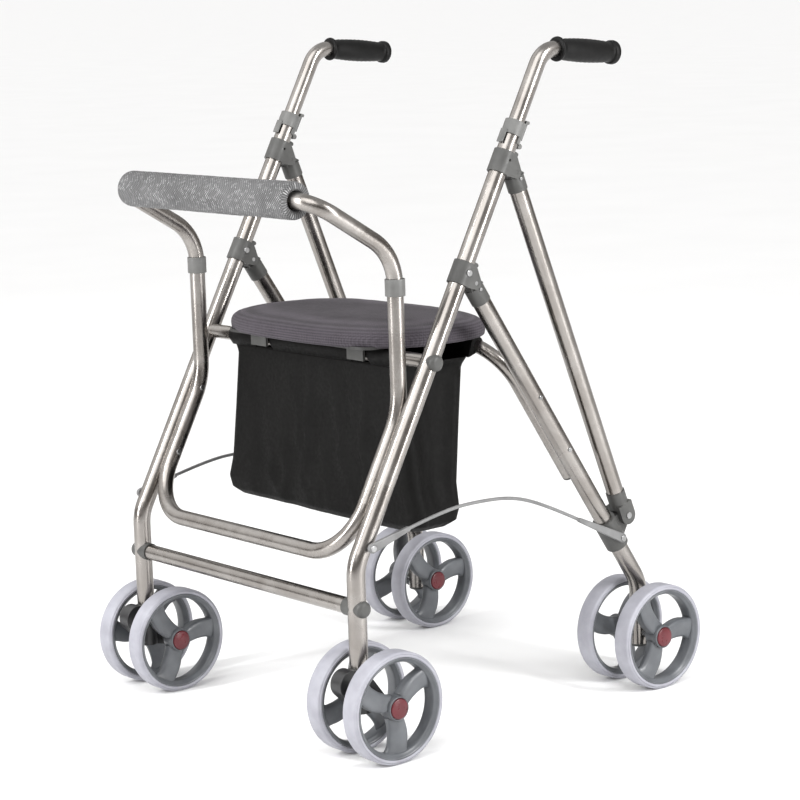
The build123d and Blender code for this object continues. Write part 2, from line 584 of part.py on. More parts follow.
# ---------------------------------------------------------------- handles
clips = []
for side, sign in SIDES:
    x_mid = sign * HALF_TRACK
    corner = on_main(GRIP_CORNER_S)
    tube_end = GRIP_END - 6.0
    handle = bent_tube(
        [
            (x_mid, *on_main(HANDLE_END_S)),
            (x_mid, *corner),
            (x_mid, corner[0] + tube_end * cos(GRIP_TILT), corner[1] - tube_end * sin(GRIP_TILT)),
        ],
        [HANDLE_BEND_R],
        HANDLE_R,
        HANDLE_R - WALL,
    )
    save(handle.part, f"handle_tube_{side}")

    along = (0, cos(GRIP_TILT), -sin(GRIP_TILT))
    grip_plane = Plane(origin=(x_mid, *corner), x_dir=along, z_dir=(1, 0, 0))
    with BuildPart() as grip:
        with BuildSketch(grip_plane):
            with BuildLine():
                Line((GRIP_START, HANDLE_R), (GRIP_START, 16.0))
                ThreePointArc((GRIP_START, 16.0), (GRIP_START + 2.3, 17.0), (GRIP_START + 4.6, 16.0))
                Line((GRIP_START + 4.6, 16.0), (GRIP_START + 6.2, 13.6))
                ThreePointArc(
                    (GRIP_START + 6.2, 13.6),
                    ((GRIP_START + GRIP_END) / 2, 16.2),
                    (GRIP_END - 12.6, 13.8),
                )
                Line((GRIP_END - 12.6, 13.8), (GRIP_END - 11.0, 16.2))
                ThreePointArc((GRIP_END - 11.0, 16.2), (GRIP_END - 3.4, 15.9), (GRIP_END, 9.0))
                Line((GRIP_END, 9.0), (GRIP_END, 0))
                Line((GRIP_END, 0), (tube_end, 0))
                Line((tube_end, 0), (tube_end, HANDLE_R))
                Line((tube_end, HANDLE_R), (GRIP_START, HANDLE_R))
            make_face()
        revolve(axis=Axis((x_mid, *corner), along))
    save(grip.part, f"grip_{side}")

    clip_plane = main_plane(x_mid, CLIP_S)
    clip_side = flank(clip_plane)
    with BuildPart() as clip:
        rod_on(clip_plane, COLLAR_R - 0.4, 0.0, 20.0)
        rod_on(clip_plane, COLLAR_R - 0.8, -9.0, 0.0)
        with BuildSketch(clip_side):
            with Locations((-12.0, -5.0)):
                Rectangle(28.0, 10.0)
        extrude(amount=20.0, both=True, mode=Mode.SUBTRACT)
        with BuildSketch(clip_side):
            with Locations((15.4, -8.4)):
                Circle(3.7)
        extrude(amount=6.5, both=True)
        with BuildSketch(clip_side):
            with Locations((14.4, 14.0)):
                Rectangle(3.6, 28.0)
            with Locations((16.6, 26.4)):
                Circle(2.4)
        extrude(amount=5.5, both=True)
        with BuildSketch(clip_side):
            with Locations((-15.4, -5.5)):
                Rectangle(1.9, 19.0)
        extrude(amount=5.5, both=True)
        rod_on(clip_plane, TUBE_R, -30.0, TUBE_TOP_S - CLIP_S, mode=Mode.SUBTRACT)
        rod_on(clip_plane, HANDLE_R + 0.3, -30.0, 40.0, mode=Mode.SUBTRACT)
    clips.append(clip)
save_group(clips, "height_clips")

# ---------------------------------------------------------------- casters
bushes = []
for side, sign in SIDES:
    x_mid = sign * HALF_TRACK
    ground = Plane(origin=(x_mid, FRONT_LEG_Y, 0))
    axle_y = FRONT_LEG_Y + CASTER_TRAIL
    with BuildPart() as bush:
        rod_on(ground, TUBE_BORE_R, FRONT_TUBE_END_Z, 160.0)
        rod_on(ground, TUBE_R, FRONT_TUBE_END_Z - 1.8, FRONT_TUBE_END_Z)
        rod_on(ground, 5.0 + PIN_GAP, 120.0, 162.0, mode=Mode.SUBTRACT)
    bushes.append(bush)
    with BuildPart() as fork:
        rod_on(ground, 14.5, 66.0, 124.0)
        with BuildSketch(Plane.YZ.offset(x_mid)):
            with Locations((-289.5, 108.0)):
                Circle(19.0)
            with Locations((-268.0, 92.0)):
                Rectangle(20.0, 44.0)
            with Locations((axle_y, AXLE_Z)):
                Circle(12.5)
            make_hull()
        extrude(amount=FORK_HALF, both=True)
        fillet(fork.edges().filter_by(Axis.X, reverse=True).group_by(Axis.Y)[0], 1.0)
        rod_on(ground, 13.2, 124.0, 140.0, mode=Mode.SUBTRACT)
        rod_on(ground, 5.0, 84.0, 140.0, mode=Mode.SUBTRACT)
        x_rod(AXLE_R, x_mid - 30.0, x_mid + 30.0, axle_y, AXLE_Z, Mode.SUBTRACT)
    save(fork.part, f"caster_fork_{side}")
    with BuildPart() as stem:
        rod_on(ground, 5.0, 84.0, 166.0)
    with BuildPart() as axle:
        x_rod(AXLE_R, x_mid - WHEEL_OFFSET - 10.5, x_mid + WHEEL_OFFSET + 10.5, axle_y, AXLE_Z)
        for outward in (1, -1):
            x_rod(7.0, x_mid + outward * (FORK_HALF + 0.1), x_mid + outward * 26.8, axle_y, AXLE_Z)
    save_group([stem, axle], f"caster_pins_{side}")
save_group(bushes, "caster_bushes")

rear_axles = []
for side, sign in SIDES:
    x_mid = sign * HALF_TRACK
    with BuildPart() as axle:
        x_rod(AXLE_R, x_mid - WHEEL_OFFSET - 10.5, x_mid + WHEEL_OFFSET + 10.5, REAR_AXLE_Y, AXLE_Z)
        for outward in (1, -1):
            x_rod(7.0, x_mid + outward * (TUBE_R + 0.1), x_mid + outward * 26.8, REAR_AXLE_Y, AXLE_Z)
    rear_axles.append(axle)
save_group(rear_axles, "rear_axles")


# ---------------------------------------------------------------- wheels
def tyre(x, y):
    """Soft tyre with rounded shoulders."""
    plane = Plane.YZ.offset(x)
    with BuildPart() as ring:
        with BuildSketch(plane):
            with Locations((y, AXLE_Z)):
                Circle(WHEEL_R)
        extrude(amount=TYRE_HALF_W, both=True)
        fillet(ring.edges(), 4.0)
        with BuildSketch(plane):
            with Locations((y, AXLE_Z)):
                Circle(RIM_R)
        extrude(amount=TYRE_HALF_W + 1.0, both=True, mode=Mode.SUBTRACT)
    return ring


def rim(x, y, outward, turn):
    """Ring, three broad blades and a hub with a recess for the cap."""
    plane = Plane(origin=(x, y, AXLE_Z), x_dir=(0, 1, 0), z_dir=(1, 0, 0))
    with BuildPart() as wheel:
        with BuildSketch(plane):
            Circle(RIM_R)
            Circle(RIM_INNER_R, mode=Mode.SUBTRACT)
        extrude(amount=TYRE_HALF_W - 1.0, both=True)
        for blade in range(3):
            angle = radians(turn + 120.0 * blade)
            blade_plane = Plane(origin=(x, y, AXLE_Z), x_dir=(0, cos(angle), sin(angle)), z_dir=(1, 0, 0))
            with BuildSketch(blade_plane):
                with BuildLine():
                    ThreePointArc((8.0, -10.0), (36.0, -8.0), (64.0, -15.0))
                    Line((64.0, -15.0), (64.0, 13.0))
                    ThreePointArc((64.0, 13.0), (36.0, 15.5), (8.0, 10.0))
                    Line((8.0, 10.0), (8.0, -10.0))
                make_face()
            extrude(amount=TYRE_HALF_W - 5.0, both=True)
        with BuildSketch(plane):
            Circle(HUB_R)
        extrude(amount=11.0, both=True)
        x_rod(HUB_R, x, x + outward * 13.0, y, AXLE_Z)
        x_rod(HUB_CAP_R, x + outward * 11.0, x + outward * 14.0, y, AXLE_Z, Mode.SUBTRACT)
        x_rod(AXLE_R + PIN_GAP, x - 12.0, x + 12.0, y, AXLE_Z, Mode.SUBTRACT)
    with BuildPart() as cap:
        x_rod(HUB_CAP_R, x + outward * 11.0, x + outward * 15.4, y, AXLE_Z)
        fillet(cap.edges().sort_by(Axis.X)[-1 if outward > 0 else 0], 1.5)
    return [wheel, cap]


WHEELS = {
    "front_left_outer": (1, 1, FRONT_LEG_Y + CASTER_TRAIL, 30.0),
    "front_left_inner": (1, -1, FRONT_LEG_Y + CASTER_TRAIL, 75.0),
    "front_right_outer": (-1, -1, FRONT_LEG_Y + CASTER_TRAIL, 50.0),
    "front_right_inner": (-1, 1, FRONT_LEG_Y + CASTER_TRAIL, 5.0),
    "rear_left_outer": (1, 1, REAR_AXLE_Y, 0.0),
    "rear_left_inner": (1, -1, REAR_AXLE_Y, 40.0),
    "rear_right_outer": (-1, -1, REAR_AXLE_Y, 80.0),
    "rear_right_inner": (-1, 1, REAR_AXLE_Y, 10.0),
}
for name, (sign, outward, y, turn) in WHEELS.items():
    x = sign * HALF_TRACK + outward * WHEEL_OFFSET
    save(tyre(x, y).part, f"tyre_{name}")
    save_group(rim(x, y, outward, turn), f"rim_{name}")


# ---------------------------------------------------------------- seat
def seat_outline(shrink):
    """Rounded-square outline of the seat, moved in by shrink."""
    steps = 48
    points = []
    for step in range(steps):
        angle = 2 * pi * step / steps
        across = abs(cos(angle)) ** (2 / SEAT_POWER) * (1 if cos(angle) > 0 else -1)
        deep = abs(sin(angle)) ** (2 / SEAT_POWER) * (1 if sin(angle) > 0 else -1)
        points.append(((SEAT_A - shrink) * across, SEAT_Y + (SEAT_B - shrink) * deep))
    Spline(*points, periodic=True)


REAR_BAR_Y = leg_y(REAR_BAR_Z)
BOARD_REAR_Y = REAR_BAR_Y - 14.0
with BuildPart() as board:
    with BuildSketch(Plane.XY.offset(BOARD_Z[0])):
        with Locations((0, (BOARD_REAR_Y - 170.0) / 2)):
            RectangleRounded(330.0, BOARD_REAR_Y + 170.0, 30.0)
    extrude(amount=BOARD_Z[1] - BOARD_Z[0])
save(board.part, "seat_board")

with BuildPart() as pad:
    with BuildSketch(Plane.XY.offset(SEAT_BOTTOM)):
        with BuildLine():
            seat_outline(0.0)
        make_face()
    extrude(amount=SEAT_TOP - SEAT_BOTTOM)
    fillet(pad.edges().group_by(Axis.Z)[-1], 9.0)
    with BuildSketch(Plane.XY.offset(SEAT_BOTTOM - 2.0)):
        with Locations((0, (BOARD_REAR_Y - 170.0) / 2)):
            RectangleRounded(330.0, BOARD_REAR_Y + 170.0, 30.0)
    extrude(amount=BOARD_Z[1] - SEAT_BOTTOM + 2.0, mode=Mode.SUBTRACT)
    recess = HOOK_W / 2 + 0.2
    for x in (HOOK_X, -HOOK_X):
        x_rod(SEAT_TUBE_R + 4.2, x - recess, x + recess, REAR_BAR_Y, REAR_BAR_Z, Mode.SUBTRACT)
save(pad.part, "seat_pad")

HOOK_LIP_Y = UPPER_BAR_Y - UPPER_BAR_R - 1.0
seat_clips = []
for x in (HOOK_X, -HOOK_X):
    with BuildPart() as hook:
        with BuildSketch(Plane.YZ.offset(x)):
            with BuildLine():
                Polyline(
                    (HOOK_LIP_Y - 4.0, 503.0),
                    (HOOK_LIP_Y - 4.0, BOARD_Z[0]),
                    (HOOK_LIP_Y, BOARD_Z[0]),
                    (HOOK_LIP_Y, 503.0),
                    close=True,
                )
            make_face()
        extrude(amount=HOOK_W / 2, both=True)
        with BuildSketch(Plane.YZ.offset(x)):
            with Locations((UPPER_BAR_Y + 24.0, BOARD_Z[0] - 2.0)):
                Rectangle(20.0, 4.0)
        extrude(amount=HOOK_W / 2, both=True)
    with BuildPart() as clip:
        x_rod(SEAT_TUBE_R + 4.0, x - HOOK_W / 2, x + HOOK_W / 2, REAR_BAR_Y, REAR_BAR_Z)
        with Locations((x, REAR_BAR_Y - 19.0, BOARD_Z[0] - 2.2)):
            Box(HOOK_W, 30.0, 4.4)
        x_rod(SEAT_TUBE_R + SLIDE_GAP, x - 20.0, x + 20.0, REAR_BAR_Y, REAR_BAR_Z, Mode.SUBTRACT)
    seat_clips += [hook, clip]
save_group(seat_clips, "seat_clips")

# ---------------------------------------------------------------- bag
BAG_SECTIONS = (
    (275.0, 205.0, -128.0, -64.0),
    (290.0, 220.0, -137.0, -56.0),
    (333.0, 207.0, -137.0, -48.0),
    (487.0, 184.0, -136.0, -14.0),
    (500.0, 196.0, -135.0, -10.0),
)
BAG_WALL = 2.0


with BuildPart() as bag:
    for shrink, mode in ((0.0, Mode.ADD), (BAG_WALL, Mode.SUBTRACT)):
        for z, half, front, rear in BAG_SECTIONS:
            with BuildSketch(Plane.XY.offset(z + shrink)):
                with Locations((0, (front + rear) / 2)):
                    RectangleRounded(2 * (half - shrink), rear - front - 2 * shrink, 24.0 - shrink)
        loft(ruled=True, mode=mode)
save(bag.part, "bag")

# ---------------------------------------------------------------- tie cables
TIE_RADII = []
for start, corner, end in zip(TIE_ROUTE, TIE_ROUTE[1:], TIE_ROUTE[2:]):
    into = atan2(corner[1] - start[1], corner[0] - start[0])
    away = atan2(end[1] - corner[1], end[0] - corner[0])
    turn = abs(away - into)
    shorter = min(dist(start, corner), dist(corner, end))
    TIE_RADII.append(0.45 * shorter / tan(turn / 2))
print("tie cable radii:", [round(radius) for radius in TIE_RADII])

ties = []
for side, sign in SIDES:
    x_tie = sign * TIE_X
    cable = bent_tube([(x_tie, y, z) for y, z in TIE_ROUTE], TIE_RADII, TIE_R, 0)
    ties.append(cable)
    for eye, tip, following in (
        (on_main(TIE_FRONT_S), TIE_ROUTE[0], TIE_ROUTE[1]),
        (TIE_REAR, TIE_ROUTE[-1], TIE_ROUTE[-2]),
    ):
        reach = dist(tip, following)
        run = ((following[0] - tip[0]) / reach, (following[1] - tip[1]) / reach)
        with BuildPart() as sleeve:
            with BuildSketch(Plane.YZ.offset(x_tie)):
                with Locations(eye):
                    Circle(6.5)
                with Locations((tip[0] + 4.0 * run[0], tip[1] + 4.0 * run[1])):
                    Circle(3.2)
                make_hull()
            extrude(amount=TIE_HALF, both=True)
            x_rod(6.5, sign * HALF_TRACK, x_tie, *eye)
            if eye == TIE_REAR:
                bracket_axis = link_plane(sign * HALF_TRACK, TIE_REAR, LEG_RAKE)
                rod_on(bracket_axis, BRACKET_R, -30.0, 30.0, mode=Mode.SUBTRACT)
            else:
                front_tube_cut(sign * HALF_TRACK)
            bore = Plane(origin=(x_tie, *tip), x_dir=(1, 0, 0), z_dir=(0, *run))
            rod_on(bore, TIE_R, 0.0, 15.0, mode=Mode.SUBTRACT)
            x_rod(SCREW_R, sign * HALF_TRACK, sign * (TIE_X + 10.0), *eye, Mode.SUBTRACT)
        ties.append(sleeve)
save_group(ties, "tie_cables")
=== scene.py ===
"""Looks of the folding walking frame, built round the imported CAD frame.  Metres, +Z up."""
from math import cos, hypot, pi, radians, sin

import bmesh
import bpy
from mathutils import Matrix, Vector, noise


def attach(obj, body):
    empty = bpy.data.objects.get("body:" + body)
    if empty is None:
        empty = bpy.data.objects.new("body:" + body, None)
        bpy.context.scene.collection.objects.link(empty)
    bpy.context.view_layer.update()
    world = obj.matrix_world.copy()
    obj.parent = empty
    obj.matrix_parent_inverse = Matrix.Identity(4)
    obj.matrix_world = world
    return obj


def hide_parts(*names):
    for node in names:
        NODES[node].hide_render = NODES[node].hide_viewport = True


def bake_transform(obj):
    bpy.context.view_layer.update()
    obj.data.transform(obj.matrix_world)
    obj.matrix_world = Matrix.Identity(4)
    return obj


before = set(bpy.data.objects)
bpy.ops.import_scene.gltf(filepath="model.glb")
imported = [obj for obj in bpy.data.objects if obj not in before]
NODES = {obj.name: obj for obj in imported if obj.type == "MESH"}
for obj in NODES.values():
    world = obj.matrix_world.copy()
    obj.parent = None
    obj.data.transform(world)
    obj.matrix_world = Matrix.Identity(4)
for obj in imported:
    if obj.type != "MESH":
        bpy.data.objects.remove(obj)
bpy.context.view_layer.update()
SCENE = bpy.context.scene

# ---------------------------------------------------------------- dimensions repeated from the CAD
HALF_TRACK = 0.247
WHEEL_OFFSET = 0.038
AXLE_Z = 0.075
FRONT_AXLE_Y = -0.244
RAKE = radians(28.35)
LEG_RAKE = radians(33.27)
STRUT_RAKE = radians(21.3)
GRIP_TILT = radians(4.87)
GRIP_CORNER = (-0.268 + 0.7398 * sin(RAKE), 0.260 + 0.7398 * cos(RAKE))
ROLL_Y, ROLL_Z = -0.2965, 0.734
ROLL_WEAVE_R = 0.0256
UPPER_BAR = (-0.1323, 0.5115)
REAR_BAR = (0.00595, 0.514)
TIE_X, TIE_R = 0.2663, 0.0024
TIE_ROUTE = (
    (-0.1978, 0.3003), (-0.1320, 0.3153), (-0.0720, 0.3182),
    (-0.0050, 0.3140), (0.0600, 0.2895), (0.1189, 0.2600),
)
TIE_FRONT_EYE = (-0.268 + 0.0286 * sin(RAKE), 0.260 + 0.0286 * cos(RAKE))
TIE_REAR_EYE = (0.003 + (0.5185 - 0.2228) * 0.65613, 0.2228)
REAR_AXLE_Y = 0.003 + (0.5185 - 0.148) * 0.65613
SIDES = (("left", 1), ("right", -1))


# ---------------------------------------------------------------- materials
class Shader:
    """A material's node tree, with short calls for the nodes used here."""

    def __init__(self, name, **uniform):
        self.material = bpy.data.materials.new(name)
        self.material.use_nodes = True
        self.nodes = self.material.node_tree.nodes
        self.links = self.material.node_tree.links
        self.surface = self.nodes["Principled BSDF"]
        for socket, value in uniform.items():
            self.surface.inputs[socket.replace("_", " ")].default_value = value
        self.place = self.nodes.new("ShaderNodeTexCoord").outputs["Object"]
        self.height = None

    def feed(self, socket, value):
        if isinstance(value, bpy.types.NodeSocket):
            self.links.new(value, socket)
        else:
            socket.default_value = value

    def turned(self, angle=0.0, scale=(1, 1, 1)):
        """Place in a frame leaning by angle in the side view, then stretched."""
        turn = self.nodes.new("ShaderNodeMapping")
        turn.inputs["Rotation"].default_value = (angle, 0, 0)
        self.feed(turn.inputs["Vector"], self.place)
        stretch = self.nodes.new("ShaderNodeMapping")
        stretch.inputs["Scale"].default_value = scale
        self.feed(stretch.inputs["Vector"], turn.outputs["Vector"])
        return stretch.outputs["Vector"]

    def noise(self, scale, detail=3.0, place=None, distortion=0.0):
        node = self.nodes.new("ShaderNodeTexNoise")
        node.inputs["Scale"].default_value = scale
        node.inputs["Detail"].default_value = detail
        node.inputs["Distortion"].default_value = distortion
        self.feed(node.inputs["Vector"], place or self.place)
        return node.outputs["Fac"]

    def math(self, operation, a, b=0.0):
        node = self.nodes.new("ShaderNodeMath")
        node.operation = operation
        self.feed(node.inputs[0], a)
        self.feed(node.inputs[1], b)
        return node.outputs[0]

    def spread(self, value, low, high, start=0.3, end=0.7):
        """Map value from start..end to low..high."""
        node = self.nodes.new("ShaderNodeMapRange")
        for socket, number in zip(("From Min", "From Max", "To Min", "To Max"), (start, end, low, high)):
            node.inputs[socket].default_value = number
        self.feed(node.inputs["Value"], value)
        return node.outputs["Result"]

    def mix(self, share, low, high):
        node = self.nodes.new("ShaderNodeMix")
        node.data_type = "RGBA"
        self.feed(node.inputs[0], share)
        for socket, colour in ((node.inputs[6], low), (node.inputs[7], high)):
            self.feed(socket, colour if isinstance(colour, bpy.types.NodeSocket) else (*colour, 1.0))
        return node.outputs[2]

    def bump(self, height, distance, strength=1.0):
        node = self.nodes.new("ShaderNodeBump")
        node.inputs["Distance"].default_value = distance
        node.inputs["Strength"].default_value = strength
        self.feed(node.inputs["Height"], height)
        if self.height:
            self.feed(node.inputs["Normal"], self.height)
        self.height = node.outputs["Normal"]

    def axes(self, place=None):
        node = self.nodes.new("ShaderNodeSeparateXYZ")
        self.feed(node.inputs[0], place or self.place)
        return node.outputs

    def done(self, colour=None, rough=None):
        if colour is not None:
            self.feed(self.surface.inputs["Base Color"], colour)
        if rough is not None:
            self.feed(self.surface.inputs["Roughness"], rough)
        if self.height:
            self.feed(self.surface.inputs["Normal"], self.height)
        return self.material


TUBE_DARK, TUBE_LIGHT = (0.215, 0.196, 0.180), (0.37, 0.352, 0.335)
FLAKE = (0.78, 0.78, 0.79)


def drawn_metal(name, lean=0.0, scale=(2200, 2200, 14), low=TUBE_DARK, high=TUBE_LIGHT, rough=(0.2, 0.31)):
    """Satin drawn tube: fine streaks along it, soft smudges across it."""
    s = Shader(name, Metallic=1.0)
    streaks = s.noise(1.0, 4.0, s.turned(lean, scale))
    smudges = s.noise(22.0, 5.0, distortion=0.6)
    s.bump(streaks, 0.00004, 0.5)
    shade = s.math("ADD", s.math("MULTIPLY", streaks, 0.35), s.math("MULTIPLY", smudges, 0.65))
    return s.done(s.mix(s.spread(shade, 0.0, 1.0), low, high), s.spread(smudges, *rough))


def moulded(name, low, high, rough=(0.36, 0.52), grain=900.0, depth=0.00006, level=0.5):
    """Moulded plastic with a fine spark grain and slightly uneven gloss."""
    s = Shader(name, Specular_IOR_Level=level)
    clouds = s.noise(38.0, 5.0)
    s.bump(s.noise(grain, 2.0), depth, 0.6)
    return s.done(s.mix(s.spread(clouds, 0.0, 1.0), low, high), s.spread(s.noise(140.0, 3.0), *rough))


def woven(name, low, high, pitch, depth, rough=(0.75, 0.92), sheen=0.25, place=None, glitter=0.0, level=0.3):
    """Cloth: a lattice of threads, uneven colour and a soft sheen."""
    s = Shader(name, Sheen_Weight=sheen, Sheen_Roughness=0.45, Specular_IOR_Level=level)
    x, y, z = place(s) if place else s.axes()
    wave = 2 * pi / pitch
    along = s.math("SINE", s.math("MULTIPLY", x, wave))
    threads = s.math("MULTIPLY", along, s.math("SINE", s.math("MULTIPLY", y, wave)))
    if z is not None:
        threads = s.math("ADD", threads, s.math("MULTIPLY", s.math("SINE", s.math("MULTIPLY", z, wave)), 0.8))
    tuft = s.spread(threads, 0.0, 1.0, -1.0, 1.0)
    s.bump(s.noise(90.0, 4.0), 0.0006, 0.35)
    s.bump(tuft, depth, 0.8)
    clouds = s.noise(26.0, 5.0)
    uneven = s.math("MULTIPLY", s.spread(clouds, 0.0, 1.0), 0.25)
    share = s.math("ADD", s.math("MULTIPLY", tuft, 0.75), uneven)
    colour = s.mix(share, low, high)
    if glitter:
        flakes = s.nodes.new("ShaderNodeTexVoronoi")
        flakes.inputs["Scale"].default_value = 260.0
        s.feed(flakes.inputs["Vector"], s.place)
        flake = s.spread(s.axes(flakes.outputs["Color"])[0], 0.0, glitter, 0.62, 0.9)
        bright = s.math("MULTIPLY", flake, s.spread(tuft, 0.0, 1.0, 0.45, 0.8))
        colour = s.mix(bright, colour, FLAKE)
        s.feed(s.surface.inputs["Metallic"], s.spread(bright, 0.0, 0.7, 0.0, 1.0))
    return s.done(colour, s.spread(s.noise(200.0, 3.0), *rough))


def round_the_roll(s):
    """Along the roll, round it, and nothing across it."""
    x, y, z = s.axes()
    angle = s.math("ARCTAN2", s.math("SUBTRACT", z, ROLL_Z), s.math("SUBTRACT", y, ROLL_Y))
    return x, s.math("MULTIPLY", angle, ROLL_WEAVE_R), None


RAKED = drawn_metal("raked_tube", RAKE)
LEG = drawn_metal("leg_tube", -LEG_RAKE)
STRUT = drawn_metal("strut_tube", -STRUT_RAKE)
CROSS = drawn_metal("cross_tube", scale=(14, 2200, 2200))
BENT = drawn_metal("bent_tube", scale=(420, 420, 420), rough=(0.22, 0.33))
STEEL = drawn_metal(
    "screw_steel", scale=(900, 900, 900), low=(0.20, 0.20, 0.20), high=(0.40, 0.40, 0.40), rough=(0.24, 0.42),
)
JOINT = moulded("joint_plastic", (0.052, 0.052, 0.050), (0.080, 0.080, 0.077), level=0.35)
CLIP = moulded("clip_plastic", (0.105, 0.105, 0.102), (0.15, 0.15, 0.146), level=0.35)
BOARD = moulded("board_plastic", (0.014, 0.014, 0.014), (0.028, 0.027, 0.026))
CASTER = moulded("caster_plastic", (0.012, 0.012, 0.013), (0.026, 0.026, 0.027), (0.28, 0.42))
TYRE = moulded("tyre_rubber", (0.27, 0.27, 0.305), (0.345, 0.345, 0.385), (0.42, 0.6), 700.0, 0.00008)
RIM = moulded("rim_plastic", (0.078, 0.083, 0.091), (0.118, 0.125, 0.135), (0.28, 0.42))
CAP = moulded("cap_plastic", (0.075, 0.004, 0.008), (0.12, 0.008, 0.014), (0.24, 0.4))
CABLE = moulded("cable_sleeve", (0.13, 0.13, 0.13), (0.19, 0.19, 0.19))
GRIP = moulded(
    "grip_rubber", (0.0015, 0.0015, 0.0015), (0.0045, 0.0043, 0.0042), (0.4, 0.55), 620.0, 0.00016, 0.18,
)
SEAT = woven("seat_fabric", (0.024, 0.0205, 0.025), (0.074, 0.064, 0.077), 0.0034, 0.0005, sheen=0.05)
BAG = woven(
    "bag_fabric", (0.0028, 0.0027, 0.0026), (0.0078, 0.0075, 0.0072), 0.0011, 0.0001, (0.5, 0.68), 0.0, level=0.09,
)
ROLL = woven(
    "roll_fabric", (0.014, 0.014, 0.014), (0.19, 0.19, 0.193), 0.0042, 0.0003, (0.45, 0.65), 0.0,
    round_the_roll, glitter=0.35,
)

BY_NODE = {
    "upper_crossbar": CROSS, "lower_crossbar": CROSS, "backrest_loop": BENT, "backrest_bow": BENT,
    "seat_frame_tube": BENT, "backrest_ferrules": CLIP, "height_clips": CLIP, "seat_board": BOARD,
    "tie_cables": CABLE, "bag": BAG, "backrest_roll": ROLL, "seat_pad": SEAT, "crossbar_caps": JOINT,
}
BY_START = (
    ("front_tube", RAKED), ("handle_tube", RAKED), ("rear_leg", LEG), ("strut_ends", JOINT), ("strut_pins", STEEL),
    ("strut", STRUT), ("grip", GRIP), ("caster_fork", CASTER), ("caster_pins", STEEL), ("caster_bushes", CLIP),
    ("tyre", TYRE), ("rim", RIM), ("front_screws", STEEL), ("rear_screws", STEEL), ("hinge_pins", STEEL),
    ("rear_axles", STEEL),
)
for name, node in NODES.items():
    material = BY_NODE.get(name) or next((m for start, m in BY_START if name.startswith(start)), JOINT)
    if node.material_slots:
        for material_slot in node.material_slots:
            material_slot.material = material
    else:
        node.data.materials.append(material)


# ---------------------------------------------------------------- mesh building
def piece(name, verts, faces, material, body=None, slot=None, replaces=(), more=(), face_material=None):
    """A new mesh object that rides on a body and stands for CAD nodes."""
    mesh = bpy.data.meshes.new(name)
    mesh.from_pydata([tuple(v) for v in verts], [], faces)
    mesh.validate()
    for surface in (material, *more):
        mesh.materials.append(surface)
    if face_material:
        for face, index in zip(mesh.polygons, face_material):
            face.material_index = index
    mesh.polygons.foreach_set("use_smooth", [True] * len(mesh.polygons))
    obj = bpy.data.objects.new(name, mesh)
    SCENE.collection.objects.link(obj)
    work = bmesh.new()
    work.from_mesh(mesh)
    bmesh.ops.recalc_face_normals(work, faces=work.faces)
    work.to_mesh(mesh)
    work.free()
    if body:
        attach(obj, body)
    if replaces:
        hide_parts(*replaces)
    return obj


def bands(rows, around):
    """Quads joining each closed loop of points to the next."""
    faces = []
    for row in range(rows - 1):
        base, above = row * around, (row + 1) * around
        for step in range(around):
            beside = (step + 1) % around
            faces.append((base + step, base + beside, above + beside, above + step))
    return faces


def lids(rows, around):
    """The two end faces of a stack of loops."""
    return [tuple(reversed(range(around))), tuple(range((rows - 1) * around, rows * around))]


def circle(centre, radius, count):
    """Points round a circle in the side view."""
    angles = [2 * pi * k / count for k in range(count)]
    return [(centre[0] + radius * cos(angle), centre[1] + radius * sin(angle)) for angle in angles]


def lathe(profile, segments, centre, along, across, closed=True, wobble=None):
    """Verts and faces of (axial, radial) points turned about an axis through centre."""
    along, across, centre = Vector(along), Vector(across), Vector(centre)
    third = along.cross(across)
    verts = []
    for axial, radial in profile:
        for step in range(segments):
            angle = 2 * pi * step / segments
            reach = radial + (wobble(axial, angle) if wobble else 0.0)
            verts.append(centre + along * axial + (across * cos(angle) + third * sin(angle)) * reach)
    rows = len(profile)
    faces = bands(rows, segments)
    if closed:
        last = (rows - 1) * segments
        for step in range(segments):
            beside = (step + 1) % segments
            faces.append((last + step, last + beside, beside, step))
    else:
        faces += lids(rows, segments)
    return verts, faces


def joined(*shells):
    """Several (verts, faces) in one list, with the shell number of each face."""
    verts, faces, owner = [], [], []
    for number, (points, polygons) in enumerate(shells):
        base = len(verts)
        verts += points
        faces += [tuple(base + i for i in polygon) for polygon in polygons]
        owner += [number] * len(polygons)
    return verts, faces, owner


def arc(centre, radius, start, end, steps):
    """Points of an arc in a profile, angles in degrees."""
    return [
        (centre[0] + radius * cos(radians(start + (end - start) * k / steps)),
         centre[1] + radius * sin(radians(start + (end - start) * k / steps)))
        for k in range(steps + 1)
    ]


# ---------------------------------------------------------------- wheels
def wheel_profile(half):
    """One side's points followed by their mirror image, as a closed profile."""
    return [(-a, r) for a, r in half] + [(a, r) for a, r in reversed(half)]


TYRE_SIDE = [(0.0128, 0.0679), (0.0140, 0.0686), (0.0143, 0.0698), (0.0140, 0.0712), (0.0137, 0.0722)]
TYRE_SIDE += arc((0.0098, 0.0710), 0.0040, 12, 84, 6) + [(0.0050, 0.0750)]
RIM_SIDE = [(0.0130, 0.0680), (0.0136, 0.0674), (0.0136, 0.0662), (0.0128, 0.0652), (0.0112, 0.0641)]
RIM_SIDE += [(0.0100, 0.0626), (0.0092, 0.0614), (0.0060, 0.0608), (0.0020, 0.0606)]
HUB = [
    (-0.0110, 0.0046), (-0.0110, 0.0140), (-0.0098, 0.0154), (-0.0060, 0.0162), (0.0, 0.0168),
    (0.0060, 0.0168), (0.0100, 0.0166), (0.0122, 0.0161), (0.0130, 0.0153), (0.0130, 0.0146),
    (0.0118, 0.0142), (0.0112, 0.0120), (0.0112, 0.0046),
]
